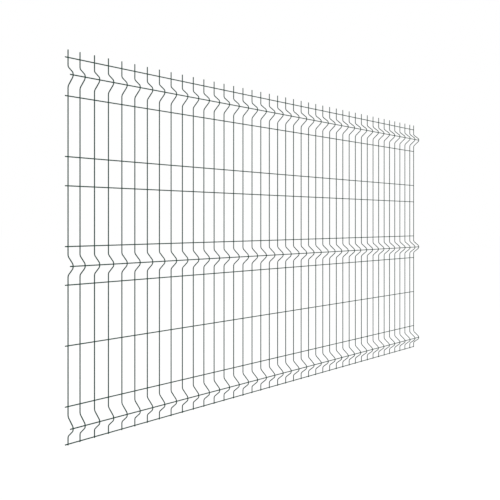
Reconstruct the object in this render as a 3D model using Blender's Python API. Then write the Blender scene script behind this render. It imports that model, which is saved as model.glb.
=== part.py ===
"""Welded mesh fence panel with three V folds, made of straight and bent round steel wires.

Units are metres and +Z is up. The panel runs along +X, and its folds stand out towards -Y, the
front. The horizontal wires lie behind the vertical ones, and each fold's own wire nests inside it.
The origin is the centre of the left cut end of the bottom edge wire, which meets the post.
"""
import math

import bpy
from mathutils import Vector

# Wires, with their coat. Every weld seat keeps a hairline gap.
VERTICAL_WIRE_DIAMETER = 0.004
HORIZONTAL_WIRE_DIAMETER = 0.004
SEAT_GAP = 0.0003

# Spacing of the vertical wires. The outer cells are narrower than the others.
VERTICAL_WIRE_COUNT = 42
WIRE_PITCH = 0.055
END_CELL_WIDTH = 0.044
# The horizontal wires run on past the outer vertical wires, towards the posts.
END_OVERHANG = 0.0085

# The vertical wires end as spikes over the top edge wire, and flush under the bottom edge wire.
SPIKE_LENGTH = 0.0245

# Heights of the flat cells between the folds, from wire to wire.
TALL_CELL_HEIGHT = 0.200
SHORT_CELL_HEIGHT = 0.096

# A fold's legs would meet this far in front of the face, at half its height. Its nose is round.
FOLD_DEPTH = 0.0415
FOLD_HALF_HEIGHT = 0.032
INSIDE_BEND_RADIUS = 0.011

# Wire between a fold's corner and the horizontal wire above or below it.
FOLD_FOOT = 0.0315
BOTTOM_FOLD_UPPER_FOOT = 0.0325
BOTTOM_FOLD_LOWER_FOOT = 0.0275

# Facets: a wire has six flat sides, and its diameter is the distance across them. A bend is a few
# straight stretches that touch the true arc, with kinks that turn by no more than this.
WIRE_SIDES = 6
KINK_TURN = math.radians(27)

# Satin polyester coat, dark moss green.
COAT_COLOR = (0.005, 0.058, 0.039, 1.0)
COAT_ROUGHNESS = 0.48

VERTICAL_RADIUS = VERTICAL_WIRE_DIAMETER / 2
HORIZONTAL_RADIUS = HORIZONTAL_WIRE_DIAMETER / 2
# From the axis of a vertical wire to the axis of the horizontal wire that is welded behind it.
SEAT_OFFSET = VERTICAL_RADIUS + SEAT_GAP + HORIZONTAL_RADIUS
FACE_Y = -SEAT_OFFSET
BEND_RADIUS = INSIDE_BEND_RADIUS + VERTICAL_RADIUS
LEG_ANGLE = math.atan2(FOLD_DEPTH, FOLD_HALF_HEIGHT)
# Cells of full width, between the narrow cells at the two ends.
FULL_CELL_COUNT = VERTICAL_WIRE_COUNT - 3
PANEL_LENGTH = 2 * (END_OVERHANG + END_CELL_WIDTH) + FULL_CELL_COUNT * WIRE_PITCH

# The panel from its top edge wire down: each fold with its feet above and below, and each flat
# cell with its height. Each step names the horizontal wire at its lower end.
STEPS = [
    ("top_fold", FOLD_FOOT, FOLD_FOOT, "top_fold_lower_wire"),
    ("cell", TALL_CELL_HEIGHT, "upper_field_wire"),
    ("cell", SHORT_CELL_HEIGHT, "middle_field_wire"),
    ("cell", TALL_CELL_HEIGHT, "middle_fold_upper_wire"),
    ("middle_fold", FOLD_FOOT, FOLD_FOOT, "middle_fold_lower_wire"),
    ("cell", TALL_CELL_HEIGHT, "lower_field_wire"),
    ("cell", TALL_CELL_HEIGHT, "bottom_fold_upper_wire"),
    ("bottom_fold", BOTTOM_FOLD_UPPER_FOOT, BOTTOM_FOLD_LOWER_FOOT, "bottom_edge_wire"),
]


def step_height(step):
    """Height of a fold or a flat cell, between its two horizontal wires."""
    if step[0] == "cell":
        return step[1]
    return step[1] + 2 * FOLD_HALF_HEIGHT + step[2]


def panel_levels():
    """Heights of the face wires by name, and of the fold apexes by name, over the bottom wire."""
    height = sum(step_height(step) for step in STEPS)
    wires = {"top_edge_wire": height}
    apexes = {}
    for step in STEPS:
        if step[0] != "cell":
            apexes[step[0]] = height - step[1] - FOLD_HALF_HEIGHT
        height -= step_height(step)
        wires[step[-1]] = height
    return wires, apexes


def bend(before, corner, after):
    """Kinks that lead the wire round a corner. An even number leaves the middle of the bend flat."""
    into = (corner - before).normalized()
    out = (after - corner).normalized()
    turn = into.angle(out)
    kinks = 2 * math.ceil(turn / KINK_TURN / 2)
    along = (into + out).normalized()
    inward = (out - into).normalized()
    centre = corner + inward * BEND_RADIUS / math.cos(turn / 2)
    reach = BEND_RADIUS / math.cos(turn / kinks / 2)
    points = []
    for index in range(kinks):
        angle = turn * ((index + 0.5) / kinks - 0.5)
        points.append(centre - inward * reach * math.cos(angle) + along * reach * math.sin(angle))
    return points


def vertical_wire_path(top, bottom, apexes):
    """Axis of a vertical wire at x = 0, from its spike down through the folds to its cut end."""
    corners = [Vector((0, FACE_Y, top))]
    for height in sorted(apexes.values(), reverse=True):
        corners.append(Vector((0, FACE_Y, height + FOLD_HALF_HEIGHT)))
        corners.append(Vector((0, FACE_Y - FOLD_DEPTH, height)))
        corners.append(Vector((0, FACE_Y, height - FOLD_HALF_HEIGHT)))
    corners.append(Vector((0, FACE_Y, bottom)))
    path = [corners[0]]
    for before, corner, after in zip(corners, corners[1:], corners[2:]):
        path.extend(bend(before, corner, after))
    path.append(corners[-1])
    return path


def fold_wire_y():
    """Depth of the horizontal wire inside a fold: against the round nose, or between tight legs."""
    wedge = max(BEND_RADIUS, SEAT_OFFSET) / math.cos(LEG_ANGLE)
    nose_play = max(BEND_RADIUS - SEAT_OFFSET, 0)
    return FACE_Y - FOLD_DEPTH + wedge - nose_play


def wire_curve(name, path, diameter, tilt, material):
    """A six-sided bar along a path, measured across its flats, with closed ends."""
    curve = bpy.data.curves.new(name, "CURVE")
    curve.dimensions = "3D"
    curve.twist_mode = "MINIMUM"
    curve.bevel_depth = diameter / 2 / math.cos(math.pi / WIRE_SIDES)
    # A bevel has four sides, and two more for each step of its resolution.
    curve.bevel_resolution = (WIRE_SIDES - 4) // 2
    curve.use_fill_caps = True
    spline = curve.splines.new("POLY")
    spline.points.add(len(path) - 1)
    for point, position in zip(spline.points, path):
        point.co = (*position, 1.0)
        point.tilt = tilt
    curve.materials.append(material)
    return curve


def add_wire(name, curve, location, panel, collection):
    """One named wire of the panel, which shares its curve with its like."""
    wire = bpy.data.objects.new(name, curve)
    wire.location = location
    wire.parent = panel
    collection.objects.link(wire)
    return wire


def coat_material():
    """The coat that covers every wire."""
    material = bpy.data.materials.new("polyester_coat")
    material.use_nodes = True
    shader = material.node_tree.nodes["Principled BSDF"]
    shader.inputs["Base Color"].default_value = COAT_COLOR
    shader.inputs["Roughness"].default_value = COAT_ROUGHNESS
    shader.inputs["Metallic"].default_value = 0.0
    return material


def vertical_wire_places():
    """Distances of the vertical wires from the left cut ends."""
    places = [END_OVERHANG, END_OVERHANG + END_CELL_WIDTH]
    for _ in range(FULL_CELL_COUNT):
        places.append(places[-1] + WIRE_PITCH)
    places.append(places[-1] + END_CELL_WIDTH)
    return places


def build():
    """Remove what the scene holds, and make the panel in a collection of its own."""
    for old in list(bpy.data.objects):
        bpy.data.objects.remove(old)
    collection = bpy.data.collections.new("mesh_fence_panel")
    bpy.context.scene.collection.children.link(collection)
    panel = bpy.data.objects.new("panel_origin", None)
    collection.objects.link(panel)
    coat = coat_material()
    face_wires, apexes = panel_levels()

    top = face_wires["top_edge_wire"] + SPIKE_LENGTH
    path = vertical_wire_path(top, -HORIZONTAL_RADIUS, apexes)
    vertical = wire_curve("vertical_wire", path, VERTICAL_WIRE_DIAMETER, 0.0, coat)
    for number, x in enumerate(vertical_wire_places(), start=1):
        add_wire(f"vertical_wire_{number:02d}", vertical, (x, 0, 0), panel, collection)

    straight = [Vector((0, 0, 0)), Vector((PANEL_LENGTH, 0, 0))]
    half_side = math.pi / WIRE_SIDES
    horizontal = wire_curve("horizontal_wire", straight, HORIZONTAL_WIRE_DIAMETER, half_side, coat)
    for name, height in face_wires.items():
        add_wire(name, horizontal, (0, 0, height), panel, collection)
    for fold, height in apexes.items():
        add_wire(f"{fold}_apex_wire", horizontal, (0, fold_wire_y(), height), panel, collection)


build()
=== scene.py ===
# %% [markdown]
# # A welded mesh fence panel with three folds
# The panel is two layers of round steel wire. Level wires run from post to post at the back, and
# upright wires stand in front of them. A machine welds every crossing, a press folds the whole mesh
# three times so that it can't bow, and then the panel is coated with powder and baked.
#
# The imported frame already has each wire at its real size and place, as a bar with six flat sides.
# This script gives every wire its round section, true bends and cut ends, adds the weld at each of
# the 504 crossings, and finishes all of it in a dark moss-green satin coat.

# %% Load the frame
import math
import bpy
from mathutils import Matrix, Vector


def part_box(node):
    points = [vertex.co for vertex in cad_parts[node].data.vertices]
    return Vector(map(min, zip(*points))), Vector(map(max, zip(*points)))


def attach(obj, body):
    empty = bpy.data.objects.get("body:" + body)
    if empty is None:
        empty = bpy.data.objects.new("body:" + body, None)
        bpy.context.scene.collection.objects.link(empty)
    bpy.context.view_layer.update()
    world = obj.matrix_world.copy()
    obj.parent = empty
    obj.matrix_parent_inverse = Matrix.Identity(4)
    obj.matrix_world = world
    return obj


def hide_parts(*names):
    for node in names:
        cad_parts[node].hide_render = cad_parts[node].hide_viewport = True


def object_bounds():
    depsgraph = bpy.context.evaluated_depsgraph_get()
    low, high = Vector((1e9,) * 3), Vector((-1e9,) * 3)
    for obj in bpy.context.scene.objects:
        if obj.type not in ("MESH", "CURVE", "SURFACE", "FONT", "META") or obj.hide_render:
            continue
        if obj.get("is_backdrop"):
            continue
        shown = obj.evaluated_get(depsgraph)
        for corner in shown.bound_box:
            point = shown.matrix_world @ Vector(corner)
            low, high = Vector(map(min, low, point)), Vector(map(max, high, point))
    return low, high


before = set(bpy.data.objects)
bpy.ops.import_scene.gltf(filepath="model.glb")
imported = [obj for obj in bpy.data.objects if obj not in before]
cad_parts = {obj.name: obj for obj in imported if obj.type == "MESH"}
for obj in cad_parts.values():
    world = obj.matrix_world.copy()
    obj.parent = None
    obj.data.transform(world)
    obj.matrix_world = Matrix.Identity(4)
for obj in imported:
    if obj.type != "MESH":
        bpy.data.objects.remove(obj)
cad_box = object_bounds()
print("wires in the frame:", len(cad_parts))

# %% [markdown]
# ## Where the wires are
# Nothing is placed by eye. Each wire's box in the frame says where its axis is, so a change of mesh
# size in the frame moves the finished wires, the welds and the coat with it. A six-sided bar is
# as deep as the real wire across its flats, and those face the front and the back, so the wire's
# diameter is the depth of a straight wire's box.

# %% Read the wires' places
UPRIGHT_PREFIX = "vertical_wire_"
FOLD_WIRE_ENDING = "_apex_wire"

upright_names = sorted(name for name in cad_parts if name.startswith(UPRIGHT_PREFIX))
level_names = sorted(
    (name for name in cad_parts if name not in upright_names),
    key=lambda name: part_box(name)[0].z,
)


def middle(name):
    """Centre of a wire's box."""
    low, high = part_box(name)
    return (low + high) / 2


low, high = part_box(level_names[0])
wire_diameter = high.y - low.y
wire_radius = wire_diameter / 2
panel_length = high.x - low.x

low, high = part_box(upright_names[0])
upright_foot, upright_tip = low.z, high.z
face_y = high.y - wire_radius
nose_y = low.y + wire_radius
fold_heights = [middle(name).z for name in level_names if name.endswith(FOLD_WIRE_ENDING)]

print(len(upright_names), "upright wires and", len(level_names), "level wires")
print(f"each {wire_diameter * 1000:.1f} mm thick")
print("folds at heights of", [round(height, 4) for height in fold_heights])

# %% [markdown]
# ## The line of each wire
# A level wire is straight. An upright wire is straight between its folds, and each fold is a V with
# a corner above, a nose in front and a corner below. The line only needs those sharp corners: the
# bends are rounded later by one node, as the press rounds them over its tool. It holds no other
# points, because that node would try to round a point on a straight stretch too.
#
# The frame's boxes don't say how high a fold is or how round its bends are, so those two sizes are
# given here. They do say how far the rounded nose reaches. The sharp corner lies in front of it, by
# an amount that depends on the slope of the legs, which in turn depends on the corner. Working out
# one from the other a few times settles both.

# %% Lines of the wires
FOLD_HALF_HEIGHT = 0.032
INSIDE_BEND_RADIUS = 0.011
SETTLING_ROUNDS = 12

bend_radius = INSIDE_BEND_RADIUS + wire_radius


def fold_corner_y():
    """Depth of a fold's sharp corner, which its bend rounds off to the nose in the frame."""
    nose_depth = face_y - nose_y
    depth = nose_depth
    for _ in range(SETTLING_ROUNDS):
        leg_angle = math.atan2(depth, FOLD_HALF_HEIGHT)
        depth = nose_depth + bend_radius * (1 / math.cos(leg_angle) - 1)
    return face_y - depth


corner_y = fold_corner_y()


def upright_line(x):
    """The line of the upright wire that stands at x, from its spike down through its folds."""
    points = [Vector((x, face_y, upright_tip))]
    for height in sorted(fold_heights, reverse=True):
        points.append(Vector((x, face_y, height + FOLD_HALF_HEIGHT)))
        points.append(Vector((x, corner_y, height)))
        points.append(Vector((x, face_y, height - FOLD_HALF_HEIGHT)))
    points.append(Vector((x, face_y, upright_foot)))
    return points


def level_line(name):
    """The line of a level wire, along the middle of its box."""
    low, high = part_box(name)
    centre = middle(name)
    return [Vector((low.x, centre.y, centre.z)), Vector((high.x, centre.y, centre.z))]


print("points on an upright wire's line:", len(upright_line(0)))
print("points on a level wire's line:", len(level_line(level_names[0])))
print(f"a fold's sharp corner lies {(nose_y - corner_y) * 1000:.1f} mm in front of its nose")

# %% [markdown]
# ## Helpers for node trees
# The shaders and the shapes are both built from nodes, so a few small helpers come first. They make
# a node and say in one line where its inputs come from, as a link or as a plain number. That keeps
# the trees below as readable as the formulas they stand for.

# %% Helpers for node trees
def fill_socket(tree, socket, given):
    """Links a socket to another one, or sets its value."""
    if isinstance(given, bpy.types.NodeSocket):
        tree.links.new(given, socket)
    else:
        socket.default_value = given


def add_node(tree, kind, **inputs):
    """A new node with its inputs filled by name. An underscore stands for a space in a name."""
    node = tree.nodes.new(kind)
    for name, given in inputs.items():
        fill_socket(tree, node.inputs[name.replace("_", " ")], given)
    return node


def add_math(tree, operation, *terms):
    """The result of a Math node on a few sockets or numbers."""
    node = tree.nodes.new("ShaderNodeMath")
    node.operation = operation
    for socket, term in zip(node.inputs, terms):
        fill_socket(tree, socket, term)
    return node.outputs["Value"]


def add_group_sockets(tree, inputs, outputs):
    """Names a group's sockets, each input with its kind and any value, and returns both sides."""
    for name, kind, *value in inputs:
        socket = tree.interface.new_socket(name, in_out="INPUT", socket_type=kind)
        if value:
            socket.default_value = value[0]
    for name, kind in outputs:
        tree.interface.new_socket(name, in_out="OUTPUT", socket_type=kind)
    return tree.nodes.new("NodeGroupInput").outputs, tree.nodes.new("NodeGroupOutput").inputs


print("helpers for node trees are ready")

# %% [markdown]
# ## The coat's surface
# Sprayed powder melts into a skin that is never quite level: it has the fine, soft dimples that
# coaters call orange peel, a little more or less gloss from place to place, and a tone that drifts
# along the wire with the thickness of the skin. A picture could show that, but it would have to be
# wrapped round 85 metres of wire. Noise in the object's own space needs no wrapping, and meets
# itself at every weld.
#
# The effects are node groups, because the wire, the weld and the cut end all use them, each with
# its own amounts. The first is the height of the skin.

# %% Orange peel of the coat
GRIT_FINENESS = 5.0


def orange_peel_group():
    """Height of the coat's skin: soft dimples, with finer grit between them."""
    tree = bpy.data.node_groups.new("orange_peel", "ShaderNodeTree")
    given, result = add_group_sockets(
        tree,
        [("Dimples Per Metre", "NodeSocketFloat", 600.0), ("Grit", "NodeSocketFloat", 0.2)],
        [("Height", "NodeSocketFloat")],
    )
    place = tree.nodes.new("ShaderNodeTexCoord").outputs["Object"]
    size = given["Dimples Per Metre"]
    dimples = add_node(tree, "ShaderNodeTexNoise", Vector=place, Scale=size, Detail=1.0)
    finer = add_math(tree, "MULTIPLY", size, GRIT_FINENESS)
    grit = add_node(tree, "ShaderNodeTexNoise", Vector=place, Scale=finer, Detail=2.0)
    height = add_math(tree, "MULTIPLY_ADD", grit.outputs["Fac"], given["Grit"], dimples.outputs["Fac"])
    tree.links.new(height, result["Height"])
    return tree


orange_peel = orange_peel_group()
print("node group:", orange_peel.name)

# %% [markdown]
# The second group gives the tone and the gloss. A slow drift and a fine mottle are mixed, and they
# choose between the colours of a thin and of a thick coat. Noise stays near the middle of its range,
# so it is stretched first, or the two colours would hardly show. The mottle alone drives the gloss,
# so that the paler places aren't simply the duller ones.

# %% Tone and gloss of the coat
NOISE_MIDDLE = 0.5
DRIFT_PER_METRE = 3.0
MOTTLE_PER_METRE = 90.0
MOTTLE_SHARE = 0.4
TONE_SPREAD = 0.15
GLOSS_SPREAD = 0.2


def add_contrast(tree, noise, spread):
    """Noise stretched so that it runs from 0 to 1 over a spread to either side of its middle."""
    least = NOISE_MIDDLE - spread
    most = NOISE_MIDDLE + spread
    return add_node(tree, "ShaderNodeMapRange", Value=noise, From_Min=least, From_Max=most)


def coat_tone_group():
    """Colour and roughness of the coat: a slow drift along the wires, and a faint fine mottle."""
    tree = bpy.data.node_groups.new("coat_tone", "ShaderNodeTree")
    given, result = add_group_sockets(
        tree,
        [
            ("Thin Coat", "NodeSocketColor", (0.02, 0.06, 0.04, 1.0)),
            ("Thick Coat", "NodeSocketColor", (0.01, 0.04, 0.03, 1.0)),
            ("Smooth", "NodeSocketFloat", 0.3),
            ("Rough", "NodeSocketFloat", 0.45),
        ],
        [("Color", "NodeSocketColor"), ("Roughness", "NodeSocketFloat")],
    )
    place = tree.nodes.new("ShaderNodeTexCoord").outputs["Object"]
    drift = add_node(tree, "ShaderNodeTexNoise", Vector=place, Scale=DRIFT_PER_METRE, Detail=2.0)
    mottle = add_node(tree, "ShaderNodeTexNoise", Vector=place, Scale=MOTTLE_PER_METRE, Detail=3.0)
    both = add_node(
        tree, "ShaderNodeMix", Factor=MOTTLE_SHARE, A=drift.outputs["Fac"], B=mottle.outputs["Fac"]
    )
    thickness = add_contrast(tree, both.outputs["Result"], TONE_SPREAD)
    tone = tree.nodes.new("ShaderNodeMix")
    tone.data_type = "RGBA"
    fill_socket(tree, tone.inputs["Factor"], thickness.outputs["Result"])
    fill_socket(tree, tone.inputs["A"], given["Thin Coat"])
    fill_socket(tree, tone.inputs["B"], given["Thick Coat"])
    gloss = add_contrast(tree, mottle.outputs["Fac"], GLOSS_SPREAD)
    fill_socket(tree, gloss.inputs["To Min"], given["Smooth"])
    fill_socket(tree, gloss.inputs["To Max"], given["Rough"])
    tree.links.new(tone.outputs["Result"], result["Color"])
    tree.links.new(gloss.outputs["Result"], result["Roughness"])
    return tree


coat_tone = coat_tone_group()
print("node group:", coat_tone.name)

# %% [markdown]
# ## One coat, three finishes
# The coat is a dark moss-green polyester, satin rather than glossy. Along the wire it lies even. In
# the corners of a weld the powder pools, so it is smoother and darker there. On a cut end it pulls
# back from the sheared rim, so it is thinner, paler and rougher.
#
# All three come from one function, so that they stay one paint. Its shine is set on the shader
# itself, since it is the same all over, and the groups only drive what changes over the surface.
# Each finish gives its colour where the coat is thin and where it is thick, its least and greatest
# roughness, and how many dimples there are to a metre.

# %% Materials
COAT_SHINE = 0.2
PEEL_DEPTH = 0.0001


def coat_material(name, thin, thick, smooth, rough, dimples):
    """The polyester coat with its own tones, range of gloss and size of orange peel."""
    material = bpy.data.materials.new(name)
    material.use_nodes = True
    tree = material.node_tree
    shader = tree.nodes["Principled BSDF"]
    shader.inputs["Specular IOR Level"].default_value = COAT_SHINE
    tone = tree.nodes.new("ShaderNodeGroup")
    tone.node_tree = coat_tone
    tone.inputs["Thin Coat"].default_value = (*thin, 1.0)
    tone.inputs["Thick Coat"].default_value = (*thick, 1.0)
    tone.inputs["Smooth"].default_value = smooth
    tone.inputs["Rough"].default_value = rough
    peel = tree.nodes.new("ShaderNodeGroup")
    peel.node_tree = orange_peel
    peel.inputs["Dimples Per Metre"].default_value = dimples
    bump = add_node(tree, "ShaderNodeBump", Height=peel.outputs["Height"], Distance=PEEL_DEPTH)
    tree.links.new(tone.outputs["Color"], shader.inputs["Base Color"])
    tree.links.new(tone.outputs["Roughness"], shader.inputs["Roughness"])
    tree.links.new(bump.outputs["Normal"], shader.inputs["Normal"])
    return material


wire_coat = coat_material(
    "polyester_coat_on_wire",
    thin=(0.003, 0.050, 0.034),
    thick=(0.001, 0.038, 0.026),
    smooth=0.30,
    rough=0.44,
    dimples=600.0,
)
weld_coat = coat_material(
    "polyester_coat_in_weld",
    thin=(0.002, 0.036, 0.024),
    thick=(0.001, 0.026, 0.017),
    smooth=0.24,
    rough=0.36,
    dimples=450.0,
)
end_coat = coat_material(
    "polyester_coat_on_cut_end",
    thin=(0.012, 0.062, 0.046),
    thick=(0.004, 0.044, 0.030),
    smooth=0.46,
    rough=0.62,
    dimples=1100.0,
)
print("materials:", wire_coat.name, weld_coat.name, end_coat.name)

# %% [markdown]
# ## From a line to a wire
# A curve with a bevel would give a round wire too, but each bend would need its own points. Geometry
# Nodes has a node that rounds every corner of a line to one radius, as the folding tool does, and
# the same nodes serve the straight wires. A circle is then swept along the line, with a cap on each
# end.

# %% Sweep of a wire
def add_rounded_line(tree, line, stretches, radius):
    """A curve along a line of edges, with each corner rounded to a radius by a few stretches."""
    curve = add_node(tree, "GeometryNodeMeshToCurve", Mesh=line)
    rounded = tree.nodes.new("GeometryNodeFilletCurve")
    rounded.mode = "POLY"
    fill_socket(tree, rounded.inputs["Curve"], curve.outputs["Curve"])
    fill_socket(tree, rounded.inputs["Count"], stretches)
    fill_socket(tree, rounded.inputs["Radius"], radius)
    return rounded.outputs["Curve"]


def add_round_bar(tree, curve, diameter, sides):
    """A round bar along a curve, closed at both ends and shaded smooth."""
    radius = add_math(tree, "DIVIDE", diameter, 2.0)
    section = add_node(tree, "GeometryNodeCurvePrimitiveCircle", Resolution=sides, Radius=radius)
    bar = add_node(
        tree,
        "GeometryNodeCurveToMesh",
        Curve=curve,
        Profile_Curve=section.outputs["Curve"],
        Fill_Caps=True,
    )
    smooth = add_node(tree, "GeometryNodeSetShadeSmooth", Geometry=bar.outputs["Mesh"])
    return smooth.outputs["Geometry"]


print("a wire is a circle swept along a line")

# %% [markdown]
# The shear leaves a cut end rougher than the drawn side of the wire, so it gets its own finish. The
# ends could be picked by their place, but that differs for each wire. Every face along a wire has
# four corners, so the two faces with more than four are the ends of any wire.

# %% Finish of a wire
SIDE_FACE_CORNERS = 4


def add_coats(tree, bar, wire_finish, end_finish):
    """The coat on a bar, with a finish of its own on the two ends."""
    real = add_node(tree, "GeometryNodeRealizeInstances", Geometry=bar)
    coated = add_node(
        tree, "GeometryNodeSetMaterial", Geometry=real.outputs["Geometry"], Material=wire_finish
    )
    corners = tree.nodes.new("GeometryNodeInputMeshFaceNeighbors").outputs["Vertex Count"]
    finished = add_node(
        tree,
        "GeometryNodeSetMaterial",
        Geometry=coated.outputs["Geometry"],
        Selection=add_math(tree, "GREATER_THAN", corners, SIDE_FACE_CORNERS),
        Material=end_finish,
    )
    return finished.outputs["Geometry"]


print("faces with more corners than", SIDE_FACE_CORNERS, "are cut ends")

# %% [markdown]
# The tree puts these steps in a row. Its inputs are the sizes that a wire maker would ask for: the
# diameter, the radius of the bends, how many stretches make a bend, and how many sides make the wire
# look round.

# %% Geometry nodes of a wire
def wire_tree():
    """Turns a line into a round wire with rounded bends, closed ends and its coat."""
    tree = bpy.data.node_groups.new("round_wire", "GeometryNodeTree")
    given, result = add_group_sockets(
        tree,
        [
            ("Line", "NodeSocketGeometry"),
            ("Diameter", "NodeSocketFloat", 0.004),
            ("Bend Radius", "NodeSocketFloat", 0.013),
            ("Bend Stretches", "NodeSocketInt", 12),
            ("Sides", "NodeSocketInt", 16),
            ("Wire Coat", "NodeSocketMaterial"),
            ("End Coat", "NodeSocketMaterial"),
        ],
        [("Wire", "NodeSocketGeometry")],
    )
    curve = add_rounded_line(tree, given["Line"], given["Bend Stretches"], given["Bend Radius"])
    bar = add_round_bar(tree, curve, given["Diameter"], given["Sides"])
    wire = add_coats(tree, bar, given["Wire Coat"], given["End Coat"])
    tree.links.new(wire, result["Wire"])
    return tree


round_wire = wire_tree()
print("geometry nodes:", round_wire.name, "with", len(round_wire.nodes), "nodes")

# %% [markdown]
# ## From modifiers to a finished piece
# The tree works on an object that holds only a line. Its result is copied into a plain mesh, and the
# line's object goes, so that the finished wire keeps no modifier and has its place in its own mesh.
# The welds are finished in the same way, so these steps are helpers that both use.

# %% From modifiers to a finished piece
def set_inputs(modifier, values):
    """Sets a modifier's inputs, which it knows by the identifiers of the tree's sockets."""
    for socket in modifier.node_group.interface.items_tree:
        if socket.in_out == "INPUT" and socket.name in values:
            modifier[socket.identifier] = values[socket.name]


def run_tree(source, tree, values):
    """Puts a tree on an object, with the values of its inputs."""
    bpy.context.scene.collection.objects.link(source)
    modifier = source.modifiers.new(tree.name, "NODES")
    modifier.node_group = tree
    set_inputs(modifier, values)


def plain_mesh(source, name):
    """Keeps what an object's modifiers make as a mesh named after the piece, and drops the object."""
    bpy.context.view_layer.update()
    finished = source.evaluated_get(bpy.context.evaluated_depsgraph_get())
    mesh = bpy.data.meshes.new_from_object(finished)
    mesh.name = name
    bpy.data.objects.remove(source)
    return mesh


def coated_piece(name, mesh):
    """A finished piece of the panel, which rides on it and takes its finish from the coat."""
    piece = bpy.data.objects.new(name, mesh)
    bpy.context.scene.collection.objects.link(piece)
    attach(piece, "root")
    return piece


print("helpers for finished pieces are ready")

# %% [markdown]
# ## Every wire
# Each wire of the frame gets one finished wire that stands for it. A wire is cut to length by a shear,
# and the coat then rounds the rim of the cut. A Bevel after the tree does that: it works on the sharp
# edges only, and a round wire has none but the rims of its two ends.

# %% Make every wire
RIM_RADIUS = 0.0005
RIM_STEPS = 3
RIM_ANGLE = math.radians(60)
END_SLOT = 1

WIRE_INPUTS = {
    "Diameter": wire_diameter,
    "Bend Radius": bend_radius,
    "Bend Stretches": 12,
    "Sides": 16,
    "Wire Coat": wire_coat,
    "End Coat": end_coat,
}


def line_object(points):
    """An object that holds a line through points."""
    line = bpy.data.meshes.new("line")
    line.from_pydata(points, [(index, index + 1) for index in range(len(points) - 1)], [])
    return bpy.data.objects.new("line", line)


def round_rims(source):
    """Rounds the sharp rims of an object, in the finish of its cut ends."""
    rims = source.modifiers.new("rounded_rims", "BEVEL")
    rims.width = RIM_RADIUS
    rims.segments = RIM_STEPS
    rims.limit_method = "ANGLE"
    rims.angle_limit = RIM_ANGLE
    rims.material = END_SLOT


def finished_wire(node, points):
    """The round, coated wire that stands for a wire of the frame."""
    name = "coated_" + node
    line = line_object(points)
    run_tree(line, round_wire, WIRE_INPUTS)
    round_rims(line)
    piece = coated_piece(name, plain_mesh(line, name))
    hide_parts(node)
    return piece


upright_wires = [finished_wire(name, upright_line(middle(name).x)) for name in upright_names]
level_wires = [finished_wire(name, level_line(name)) for name in level_names]
faces = sum(len(piece.data.polygons) for piece in upright_wires + level_wires)
print(len(upright_wires), "upright wires and", len(level_wires), "level wires, with", faces, "faces")

# %% [markdown]
# ## The shape of a weld
# Each crossing is welded by squeezing the two wires together under current. They soften where they
# touch, and a collar of steel is pressed out round the spot. It is widest in the four corners between
# the wires and covered by the coat, so it looks like a small uneven cushion between the layers.
#
# Joining the two wires with a Boolean could give that collar its exact outline, but 504 of them would
# be slow and heavy. A ball pressed flat shows the same bulge in the corners, and needs only 50 faces.
# It starts with a diameter of 1, so that its scale is its size.

# %% Shape of a weld
BALL_RADIUS = 0.5
BALL_SEGMENTS = 10
BALL_RINGS = 5
POLES_TO_FRONT_AND_BACK = (math.pi / 2, 0.0, 0.0)


def add_cushion(tree, width, thickness):
    """A flat ball of a width in X and Z and a thickness in Y."""
    ball = add_node(
        tree,
        "GeometryNodeMeshUVSphere",
        Radius=BALL_RADIUS,
        Segments=BALL_SEGMENTS,
        Rings=BALL_RINGS,
    )
    size = add_node(tree, "ShaderNodeCombineXYZ", X=width, Y=width, Z=thickness)
    cushion = add_node(
        tree,
        "GeometryNodeTransform",
        Geometry=ball.outputs["Mesh"],
        Rotation=POLES_TO_FRONT_AND_BACK,
        Scale=size.outputs["Vector"],
    )
    return cushion.outputs["Geometry"]


print("a weld is a ball of", BALL_SEGMENTS, "segments and", BALL_RINGS, "rings, pressed flat")

# %% [markdown]
# ## No two welds alike
# No machine makes the same weld twice. Each cushion is turned about the axis through both its wires,
# and swollen or shrunk a little. The seed of that is fixed, so every run makes the same welds. Then
# noise dents them. A few different cushions could be modelled and shared out, but noise that is read
# in the panel's own space needs only one, because each weld lies somewhere else in it.

# %% Differences between the welds
NO_TURN = (0.0, 0.0, 0.0)
FULL_TURN = (0.0, 2 * math.pi, 0.0)


def add_random(tree, kind, least, most, seed):
    """A random value for each point, between two others."""
    node = tree.nodes.new("FunctionNodeRandomValue")
    node.data_type = kind
    fill_socket(tree, node.inputs["Min"], least)
    fill_socket(tree, node.inputs["Max"], most)
    fill_socket(tree, node.inputs["Seed"], seed)
    return node.outputs["Value"]


def add_cushions(tree, points, cushion, swell, seed):
    """A cushion on each point, turned at random about Y and swollen or shrunk by up to a share."""
    least = add_math(tree, "SUBTRACT", 1.0, swell)
    most = add_math(tree, "ADD", 1.0, swell)
    placed = add_node(
        tree,
        "GeometryNodeInstanceOnPoints",
        Points=points,
        Instance=cushion,
        Rotation=add_random(tree, "FLOAT_VECTOR", NO_TURN, FULL_TURN, seed),
        Scale=add_random(tree, "FLOAT", least, most, seed),
    )
    real = add_node(tree, "GeometryNodeRealizeInstances", Geometry=placed.outputs["Instances"])
    return real.outputs["Geometry"]


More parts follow.
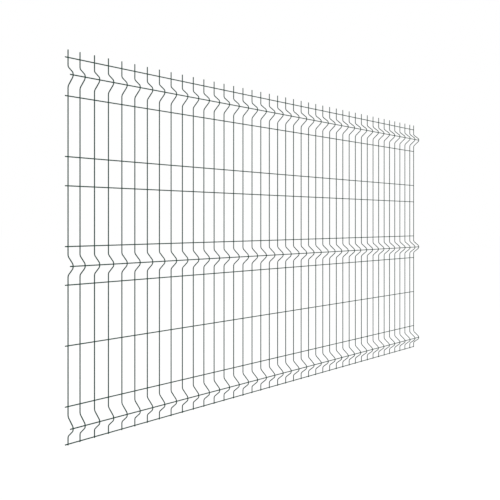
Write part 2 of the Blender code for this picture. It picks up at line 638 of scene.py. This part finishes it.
def add_dents(tree, surface, dents_per_metre, depth):
    """A surface moved by noise, by at most half the depth either way along each axis."""
    noise = add_node(tree, "ShaderNodeTexNoise", Scale=dents_per_metre, Detail=1.0)
    centred = tree.nodes.new("ShaderNodeVectorMath")
    centred.operation = "SUBTRACT"
    fill_socket(tree, centred.inputs[0], noise.outputs["Color"])
    fill_socket(tree, centred.inputs[1], (NOISE_MIDDLE, NOISE_MIDDLE, NOISE_MIDDLE))
    shift = tree.nodes.new("ShaderNodeVectorMath")
    shift.operation = "SCALE"
    fill_socket(tree, shift.inputs["Vector"], centred.outputs["Vector"])
    fill_socket(tree, shift.inputs["Scale"], depth)
    offset = shift.outputs["Vector"]
    dented = add_node(tree, "GeometryNodeSetPosition", Geometry=surface, Offset=offset)
    return dented.outputs["Geometry"]


print("each weld is turned, sized and dented in its own way")

# %% [markdown]
# The welds could also be set in place one by one in a loop. A tree does it in one step from a cloud
# of points, with one point for each crossing, and keeps the sizes of a weld as inputs.

# %% Geometry nodes of the welds
def weld_tree():
    """Puts an uneven cushion of steel on each crossing, round in X and Z and thin in Y."""
    tree = bpy.data.node_groups.new("weld_cushions", "GeometryNodeTree")
    given, result = add_group_sockets(
        tree,
        [
            ("Crossings", "NodeSocketGeometry"),
            ("Width", "NodeSocketFloat", 0.0044),
            ("Thickness", "NodeSocketFloat", 0.0024),
            ("Swell", "NodeSocketFloat", 0.05),
            ("Dents Per Metre", "NodeSocketFloat", 300.0),
            ("Dent Depth", "NodeSocketFloat", 0.0002),
            ("Seed", "NodeSocketInt", 1),
            ("Coat", "NodeSocketMaterial"),
        ],
        [("Welds", "NodeSocketGeometry")],
    )
    cushion = add_cushion(tree, given["Width"], given["Thickness"])
    cushions = add_cushions(tree, given["Crossings"], cushion, given["Swell"], given["Seed"])
    uneven = add_dents(tree, cushions, given["Dents Per Metre"], given["Dent Depth"])
    smooth = add_node(tree, "GeometryNodeSetShadeSmooth", Geometry=uneven)
    coated = add_node(
        tree, "GeometryNodeSetMaterial", Geometry=smooth.outputs["Geometry"], Material=given["Coat"]
    )
    tree.links.new(coated.outputs["Geometry"], result["Welds"])
    return tree


weld_cushions = weld_tree()
print("geometry nodes:", weld_cushions.name, "with", len(weld_cushions.nodes), "nodes")

# %% [markdown]
# ## Every weld
# A weld lies halfway between the axes of its two wires. The uprights pass a fold's own wire at their
# noses and all the other level wires at the face. The cushion is a little wider than a wire, so it
# shows in the corners, and over half as thick, so it sinks into both wires and joins them.

# %% Make the welds
WELD_INPUTS = {
    "Width": 1.1 * wire_diameter,
    "Thickness": 0.6 * wire_diameter,
    "Swell": 0.05,
    "Dents Per Metre": 300.0,
    "Dent Depth": 0.05 * wire_diameter,
    "Seed": 7,
    "Coat": weld_coat,
}


def crossings():
    """The middle of each weld, halfway between the axes of the two wires that cross there."""
    places = []
    for level in level_names:
        behind = middle(level)
        front_y = nose_y if level.endswith(FOLD_WIRE_ENDING) else face_y
        for upright in upright_names:
            places.append(Vector((middle(upright).x, (behind.y + front_y) / 2, behind.z)))
    return places


weld_places = crossings()
cloud = bpy.data.meshes.new("crossings")
cloud.from_pydata(weld_places, [], [])
weld_points = bpy.data.objects.new("crossings", cloud)
run_tree(weld_points, weld_cushions, WELD_INPUTS)
welds = coated_piece("weld_cushions", plain_mesh(weld_points, "weld_cushions"))
print(len(weld_places), "welds with", len(welds.data.polygons), "faces")

# %% [markdown]
# ## What counts as seen
# The background has to look white without throwing more light on the panel. A material can ask what
# a ray is for, so it can show one thing and give another as light. A ray from the camera counts as
# seeing, and so does one that a glossy or a clear surface sends on, because the shine of the coat
# should show the same background. The floor and the surround both use this.

# %% Rays that see
def seen_rays(tree):
    """1 for a ray that sees, from the camera or by way of gloss or glass, and 0 for other rays."""
    light_path = tree.nodes.new("ShaderNodeLightPath")
    seen = light_path.outputs["Is Camera Ray"]
    for name in ("Is Glossy Ray", "Is Transmission Ray"):
        seen = add_math(tree, "MAXIMUM", seen, light_path.outputs[name])
    return seen


print("helper for a white background is ready")

# %% [markdown]
# ## Floor
# The panel hangs between its posts, clear of the ground, so the floor lies a little below it. The
# photograph's ground is plain white, so part of what is seen of the floor is white whatever lights
# it. The rest is the floor's own lit colour, which takes the shadow. That is faint, because wires
# this thin hold back little of a light this soft.

# %% Floor
GROUND_GAP = 0.05
FLOOR_SIDE = 80.0
FLOOR_COLOR = (0.80, 0.80, 0.80, 1.0)
WHITE_STRENGTH = 1.14
WHITE_SHARE = 0.8


def floor_material():
    """Pale matt floor that is seen as white, apart from the shadow on it."""
    material = bpy.data.materials.new("pale_floor")
    material.use_nodes = True
    tree = material.node_tree
    tree.nodes.remove(tree.nodes["Principled BSDF"])
    lit = add_node(tree, "ShaderNodeBsdfDiffuse", Color=FLOOR_COLOR)
    white = add_node(tree, "ShaderNodeEmission", Strength=WHITE_STRENGTH)
    share = add_math(tree, "MULTIPLY", seen_rays(tree), WHITE_SHARE)
    mixed = add_node(tree, "ShaderNodeMixShader", Fac=share)
    tree.links.new(lit.outputs["BSDF"], mixed.inputs[1])
    tree.links.new(white.outputs["Emission"], mixed.inputs[2])
    tree.links.new(mixed.outputs["Shader"], tree.nodes["Material Output"].inputs["Surface"])
    return material


floor_place = (panel_length / 2, 0, cad_box[0].z - GROUND_GAP)
bpy.ops.mesh.primitive_plane_add(size=FLOOR_SIDE, location=floor_place)
floor = bpy.context.active_object
floor.name = "floor"
floor.data.materials.append(floor_material())
floor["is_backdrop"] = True
print(f"floor {GROUND_GAP * 1000:.0f} mm below the panel")

# %% [markdown]
# ## Light
# Plain studio light: an even surround, and two large soft lamps, one over the photographer's left
# shoulder and a weaker one from the right. A sun lamp would draw a hard bright line along each wire,
# and lamps this wide don't. The surround is seen as white, and gives less light than that to the
# wires, so that the coat keeps its own tone.

# %% Light
WHITE = (1.0, 1.0, 1.0, 1.0)
SURROUND = 0.55
LAMP_SIDE = 2.5


def studio_world():
    """A white surround that lights the scene more softly than it shows."""
    world = bpy.data.worlds.new("white_studio")
    world.use_nodes = True
    tree = world.node_tree
    strength = add_node(tree, "ShaderNodeMapRange", Value=seen_rays(tree), To_Min=SURROUND, To_Max=1.0)
    background = tree.nodes["Background"]
    background.inputs["Color"].default_value = WHITE
    tree.links.new(strength.outputs["Result"], background.inputs["Strength"])
    return world


def soft_lamp(name, place, power):
    """A square lamp that faces the middle of the panel."""
    lamp = bpy.data.lights.new(name, "AREA")
    lamp.size = LAMP_SIDE
    lamp.energy = power
    lamp_object = bpy.data.objects.new(name, lamp)
    lamp_object.location = place
    centre = (cad_box[0] + cad_box[1]) / 2
    lamp_object.rotation_euler = (centre - Vector(place)).to_track_quat("-Z", "Y").to_euler()
    bpy.context.scene.collection.objects.link(lamp_object)
    return lamp_object


bpy.context.scene.world = studio_world()
lamps = [
    soft_lamp("left_lamp", place=(-2.2, -3.2, 3.4), power=90.0),
    soft_lamp("right_lamp", place=(4.6, -2.6, 2.6), power=40.0),
]
print("lamps:", [lamp.name for lamp in lamps])

# %% [markdown]
# ## Camera
# The photograph looks level at the panel from the front of its left end, turned about 44 degrees
# from square on. Upright wires stay upright in it, so the camera isn't tilted. Its frame is moved a
# little down and to the right instead, which is what a shift lens or a cropped picture does. The
# focal length and the point that the camera looks straight at are given in pixels of a picture that
# is 500 pixels wide.

# %% Camera
PICTURE_SIDE = 500
SENSOR_WIDTH = 36.0
FOCAL_LENGTH = 601.0
LEVEL_PIXEL = (232.26, 222.26)
CAMERA_PLACE = (-0.9775, -1.798, 0.731)
CAMERA_TURN = math.radians(44.08)

camera_data = bpy.data.cameras.new("camera")
camera_data.sensor_width = SENSOR_WIDTH
camera_data.lens = FOCAL_LENGTH / PICTURE_SIDE * SENSOR_WIDTH
camera_data.shift_x = 0.5 - LEVEL_PIXEL[0] / PICTURE_SIDE
camera_data.shift_y = LEVEL_PIXEL[1] / PICTURE_SIDE - 0.5
camera = bpy.data.objects.new("camera", camera_data)
camera.location = CAMERA_PLACE
camera.rotation_euler = (math.pi / 2, 0, -CAMERA_TURN)
bpy.context.scene.collection.objects.link(camera)
bpy.context.scene.camera = camera
bpy.context.scene.view_settings.view_transform = "Standard"
print(f"lens {camera_data.lens:.1f} mm, shift {camera_data.shift_x:.3f} and {camera_data.shift_y:.3f}")

# %% [markdown]
# ## Compare the sizes and finish
# The finished wires must fill the same box as the frame's. The frame's six-sided bars are wider from
# corner to corner than the round wires, so the finished panel may be a few tenths of a millimetre
# smaller.

# %% Sizes and finish
visual_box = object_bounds()
boxes = {
    "cad": [list(corner) for corner in cad_box],
    "visual": [list(corner) for corner in visual_box],
}
for name, corners in boxes.items():
    print(name, [[round(number, 4) for number in corner] for corner in corners])
